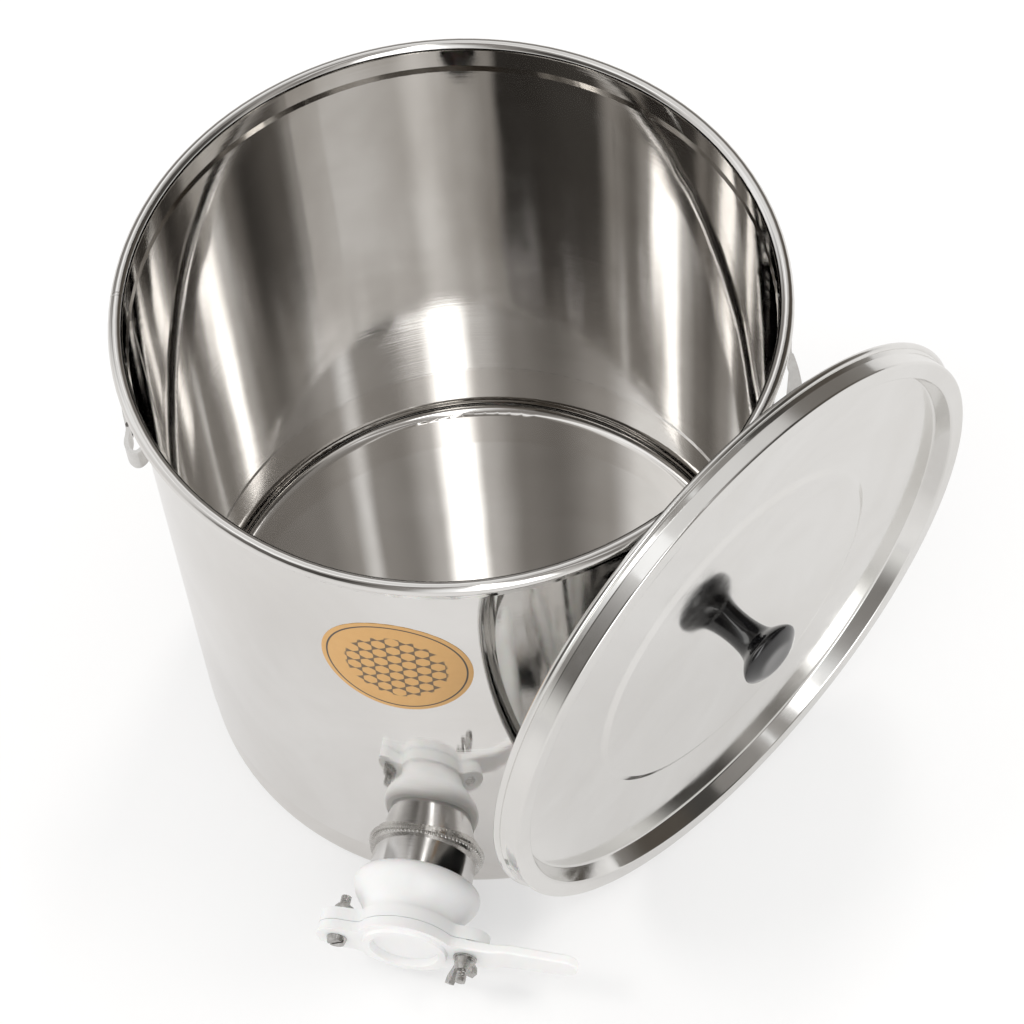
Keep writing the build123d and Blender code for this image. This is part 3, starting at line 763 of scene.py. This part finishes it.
def lidProfile():
    # the two faces of the sheet as (radius, depth), from the middle hole out to the lip
    sheet = lidShellSet["sheet"]
    ring = lidShellSet["ringRadius"]
    ringIn = ring - lidShellSet["ringWide"]
    panel = ringIn - lidShellSet["draft"]
    dome = panel * lidShellSet["domeShare"]
    domeFlat = dome - lidShellSet["domeSlope"]
    panelZ = -lidShellSet["panelDeep"]
    domeZ = panelZ + lidShellSet["domeHigh"]
    skirtZ = -lidShellSet["skirtDeep"]
    lip = ring + lidShellSet["curlOut"]
    lipZ = -lidShellSet["curlDeep"] + lidShellSet["curlRadius"] - sheet / 2
    hole = lidShellSet["hole"]
    front = (
        (hole, domeZ), (domeFlat, domeZ), (dome, panelZ), (panel, panelZ),
        (ringIn, 0), (ring, 0), (ring, skirtZ), (lip, lipZ),
    )
    back = (
        (hole, domeZ - sheet), (domeFlat, domeZ - sheet), (dome, panelZ - sheet),
        (panel + sheet, panelZ - sheet), (ringIn + sheet, -sheet), (ring - sheet, -sheet),
        (ring - sheet, skirtZ), (lip - sheet, lipZ),
    )
    front = roundCorners([Vector(point) for point in front], lidShellSet["frontRounding"])
    back = roundCorners([Vector(point) for point in back], lidShellSet["backRounding"])
    return front + back[::-1]


def lidCurl():
    centre = Vector((lidShellSet["ringRadius"] + lidShellSet["curlOut"], -lidShellSet["curlDeep"]))
    turns = [2 * math.pi * step / lidShellSet["curlSteps"] for step in range(lidShellSet["curlSteps"])]
    return [centre + Vector((math.cos(a), math.sin(a))) * lidShellSet["curlRadius"] for a in turns]


def pressLidShell():
    # the lid's own profile in finer steps than the frame's, so that it mirrors cleanly
    vertices, faces = [], []
    spinProfile(vertices, faces, lidProfile())
    spinProfile(vertices, faces, lidCurl())
    mesh = bpy.data.meshes.new("lidShell")
    mesh.from_pydata(vertices, [], faces)
    placeMesh(mesh, lidSet["centre"], lidSet["turn"])
    cleanMesh(mesh, lidShellSet["sharpAngle"])
    mesh.materials.append(finishes["lid"])
    shell = bpy.data.objects.new("lidShell", mesh)
    bpy.context.scene.collection.objects.link(shell)
    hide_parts("lid_pan")
    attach(shell, "tank")


pressLidShell()
print("lid shell pressed")


def openTree(name, sizes):
    # a node tree with one named input for each size and one for the finish
    tree = bpy.data.node_groups.new(name, "GeometryNodeTree")
    tree.interface.new_socket("Geometry", in_out="INPUT", socket_type="NodeSocketGeometry")
    tree.interface.new_socket("Geometry", in_out="OUTPUT", socket_type="NodeSocketGeometry")
    for label, value in sizes.items():
        kind = "NodeSocketInt" if isinstance(value, int) else "NodeSocketFloat"
        tree.interface.new_socket(label, in_out="INPUT", socket_type=kind)
    tree.interface.new_socket("Finish", in_out="INPUT", socket_type="NodeSocketMaterial")
    return tree, newNode(tree, "NodeGroupInput").outputs


def closeTree(tree, size, shape):
    real = newNode(tree, "GeometryNodeRealizeInstances")
    paint = newNode(tree, "GeometryNodeSetMaterial")
    output = newNode(tree, "NodeGroupOutput")
    tree.links.new(shape, real.inputs[0])
    tree.links.new(real.outputs[0], paint.inputs["Geometry"])
    tree.links.new(size["Finish"], paint.inputs["Material"])
    tree.links.new(paint.outputs[0], output.inputs[0])


def spreadOver(tree, points, shape, rotation=None):
    spread = newNode(tree, "GeometryNodeInstanceOnPoints")
    tree.links.new(points, spread.inputs["Points"])
    tree.links.new(shape, spread.inputs["Instance"])
    if rotation is not None:
        tree.links.new(rotation, spread.inputs["Rotation"])
    return spread.outputs[0]


def moveTo(tree, points, place):
    settle = newNode(tree, "GeometryNodeSetPosition")
    tree.links.new(points, settle.inputs["Geometry"])
    tree.links.new(place, settle.inputs["Position"])
    return settle.outputs[0]


grownSet = {"mergeWithin": 0.000001, "sharpAngle": 50}


def growPiece(name, tree, sizes, finish, body, place=(0, 0, 0), turn=(0, 0, 0)):
    # the tree is evaluated once and kept as a plain mesh
    seed = bpy.data.objects.new(name, bpy.data.meshes.new(name))
    bpy.context.scene.collection.objects.link(seed)
    modifier = seed.modifiers.new("grow", "NODES")
    modifier.node_group = tree
    values = {**sizes, "Finish": finish}
    for item in tree.interface.items_tree:
        if item.in_out == "INPUT" and item.name in values:
            modifier[item.identifier] = values[item.name]
    bpy.context.view_layer.update()
    grown = seed.evaluated_get(bpy.context.evaluated_depsgraph_get())
    mesh = bpy.data.meshes.new_from_object(grown)
    seed.modifiers.remove(modifier)
    seed.data = mesh
    placeMesh(mesh, place, turn)
    cleanMesh(mesh, grownSet["sharpAngle"], grownSet["mergeWithin"])
    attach(seed, body)
    print(name, "grown:", len(mesh.polygons), "faces")


# both bolts have a one-millimetre thread on the end that shows
pivotThreadSet = {"Radius": 0.00288, "Length": 0.0058, "Turns": 5.8, "Ridge": 0.0003}
clampThreadSet = {**pivotThreadSet, "Length": 0.0063, "Turns": 6.3}
boltPlaces = {
    "pivot": (-0.0414, -0.2163, 0.0405),
    "clamp": (0.0369, -0.2524, 0.0405),
    "turn": (90, 0, 0),
}


def makeThreadTree():
    tree, size = openTree("boltThread", pivotThreadSet)
    spiral = newNode(tree, "GeometryNodeCurveSpiral")
    spiral.inputs["Resolution"].default_value = 40
    tree.links.new(size["Turns"], spiral.inputs["Rotations"])
    tree.links.new(size["Radius"], spiral.inputs["Start Radius"])
    tree.links.new(size["Radius"], spiral.inputs["End Radius"])
    tree.links.new(size["Length"], spiral.inputs["Height"])
    ridge = newNode(tree, "GeometryNodeCurvePrimitiveCircle")
    ridge.inputs["Resolution"].default_value = 6
    tree.links.new(size["Ridge"], ridge.inputs["Radius"])
    sweep = newNode(tree, "GeometryNodeCurveToMesh")
    sweep.inputs["Fill Caps"].default_value = True
    tree.links.new(spiral.outputs[0], sweep.inputs["Curve"])
    tree.links.new(ridge.outputs[0], sweep.inputs["Profile Curve"])
    closeTree(tree, size, sweep.outputs[0])
    return tree


threadTree = makeThreadTree()
growPiece(
    "pivotThread", threadTree, pivotThreadSet, finishes["zinc"], "tank",
    boltPlaces["pivot"], boltPlaces["turn"],
)
growPiece(
    "clampThread", threadTree, clampThreadSet, finishes["zinc"], "tank",
    boltPlaces["clamp"], boltPlaces["turn"],
)

weldSet = {"Ripples": 84, "Ring": 0.0334, "Wall": 0.1819, "Ripple": 0.00105, "Centre": 0.0405}


def makeWeldTree():
    # small drops on the line where the pipe meets the round wall
    tree, size = openTree("outletWeldRipples", weldSet)
    ring = newNode(tree, "GeometryNodeMeshCircle")
    tree.links.new(size["Ripples"], ring.inputs["Vertices"])
    tree.links.new(size["Ring"], ring.inputs["Radius"])
    split = newNode(tree, "ShaderNodeSeparateXYZ")
    tree.links.new(newNode(tree, "GeometryNodeInputPosition").outputs[0], split.inputs[0])
    wallSquare = mathNode(tree, "MULTIPLY", size["Wall"], size["Wall"])
    sideSquare = mathNode(tree, "MULTIPLY", split.outputs["X"], split.outputs["X"])
    reach = mathNode(tree, "SQRT", mathNode(tree, "SUBTRACT", wallSquare, sideSquare))
    outward = mathNode(tree, "MULTIPLY", reach, -1.0)
    high = mathNode(tree, "ADD", split.outputs["Y"], size["Centre"])
    saddle = moveTo(tree, ring.outputs[0], joinPlace(tree, split.outputs["X"], outward, high))
    drop = newNode(tree, "GeometryNodeMeshIcoSphere")
    drop.inputs["Subdivisions"].default_value = 3
    tree.links.new(size["Ripple"], drop.inputs["Radius"])
    closeTree(tree, size, spreadOver(tree, saddle, drop.outputs[0]))
    return tree


growPiece("outletWeldRipples", makeWeldTree(), weldSet, finishes["weld"], "tank")

spotSet = {
    "Marks": 8,
    "Reach": 0.1824,
    "Azimuth": math.radians(3.3),
    "Spread": 0.2555,
    "Gap": 0.007,
    "Height": 0.270,
    "Mark": 0.002,
}


def makeSpotTree():
    # four spot-weld marks on each handle, two to a tab
    tree, size = openTree("handleSpotMarks", spotSet)
    line = newNode(tree, "GeometryNodeMeshLine")
    tree.links.new(size["Marks"], line.inputs["Count"])
    index = newNode(tree, "GeometryNodeInputIndex").outputs[0]
    # the mark's number gives its handle, its tab and its row
    handle = mathNode(tree, "FLOOR", mathNode(tree, "DIVIDE", index, 4.0))
    inHandle = mathNode(tree, "MODULO", index, 4.0)
    tab = mathNode(tree, "FLOOR", mathNode(tree, "DIVIDE", inHandle, 2.0))
    tabSide = mathNode(tree, "SUBTRACT", mathNode(tree, "MULTIPLY", tab, 2.0), 1.0)
    rowSide = mathNode(tree, "SUBTRACT", mathNode(tree, "MODULO", index, 2.0), 0.5)
    fromMiddle = mathNode(tree, "MULTIPLY", tabSide, size["Spread"])
    onHandle = mathNode(tree, "ADD", fromMiddle, size["Azimuth"])
    angle = mathNode(tree, "ADD", onHandle, mathNode(tree, "MULTIPLY", handle, math.pi))
    cosine = mathNode(tree, "COSINE", angle)
    sine = mathNode(tree, "SINE", angle)
    placeX = mathNode(tree, "MULTIPLY", cosine, size["Reach"])
    placeY = mathNode(tree, "MULTIPLY", sine, size["Reach"])
    placeZ = mathNode(tree, "ADD", size["Height"], mathNode(tree, "MULTIPLY", rowSide, size["Gap"]))
    marks = moveTo(tree, line.outputs[0], joinPlace(tree, placeX, placeY, placeZ))
    disc = newNode(tree, "GeometryNodeMeshCylinder")
    disc.inputs["Vertices"].default_value = 24
    disc.inputs["Depth"].default_value = 0.0003
    tree.links.new(size["Mark"], disc.inputs["Radius"])
    facing = newNode(tree, "FunctionNodeAlignRotationToVector", axis="Z")
    tree.links.new(joinPlace(tree, cosine, sine, 0.0), facing.inputs["Vector"])
    closeTree(tree, size, spreadOver(tree, marks, disc.outputs[0], facing.outputs[0]))
    return tree


growPiece("handleSpotMarks", makeSpotTree(), spotSet, finishes["strap"], "tank")
